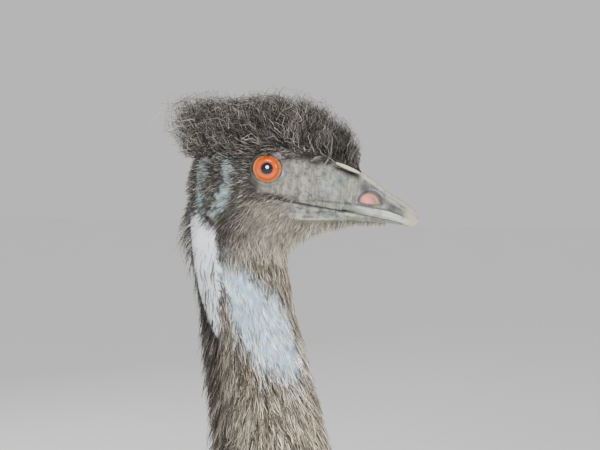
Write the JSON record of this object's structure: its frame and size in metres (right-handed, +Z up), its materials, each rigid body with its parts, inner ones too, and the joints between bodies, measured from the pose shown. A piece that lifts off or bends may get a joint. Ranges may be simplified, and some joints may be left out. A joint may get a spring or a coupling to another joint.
{
  "type": "emu",
  "caption": "Life-size still model of an adult emu standing on both feet, head up in profile, shaggy drooping coat, pale blue neck skin.",
  "frame": {"origin": "on the floor, below the middle of the bird's box", "axes": "+X the way the bird faces, +Y its left side, +Z up"},
  "size_m": [1.0048, 0.452, 1.5858],
  "materials": {
    "face_skin": "bare grey skin with short bristly feathers",
    "bill_horn": "grey horn with pale ridges, satin",
    "neck_skin": "pale blue skin under sparse hair-like feathers",
    "neck_feather": "brown-black hair-like feathers, paler at the tips",
    "coat": "long drooping grey-brown feathers with dark tips",
    "leg_feather": "brown hair-like feathers",
    "iris": "wet orange iris round a dark pupil",
    "scaled_skin": "grey-brown scaly skin",
    "claw_horn": "dark horn, satin"
  },
  "bodies": {
    "root": {"head": "face_skin", "bill_upper": "bill_horn", "bill_lower": "bill_horn", "neck_upper": "neck_skin", "neck_middle": "neck_feather", "neck_lower": "neck_feather", "torso": "coat", "tail": "coat", "eye_right": "iris", "ear_right": "face_skin", "wing_right": "coat", "thigh_right": "leg_feather", "shank_right": "scaled_skin", "foot_right": "scaled_skin", "claw_right_inner": "claw_horn", "claw_right_middle": "claw_horn", "claw_right_outer": "claw_horn", "eye_left": "iris", "ear_left": "face_skin", "wing_left": "coat", "thigh_left": "leg_feather", "shank_left": "scaled_skin", "foot_left": "scaled_skin", "claw_left_inner": "claw_horn", "claw_left_middle": "claw_horn", "claw_left_outer": "claw_horn"}
  },
  "joints": []
}
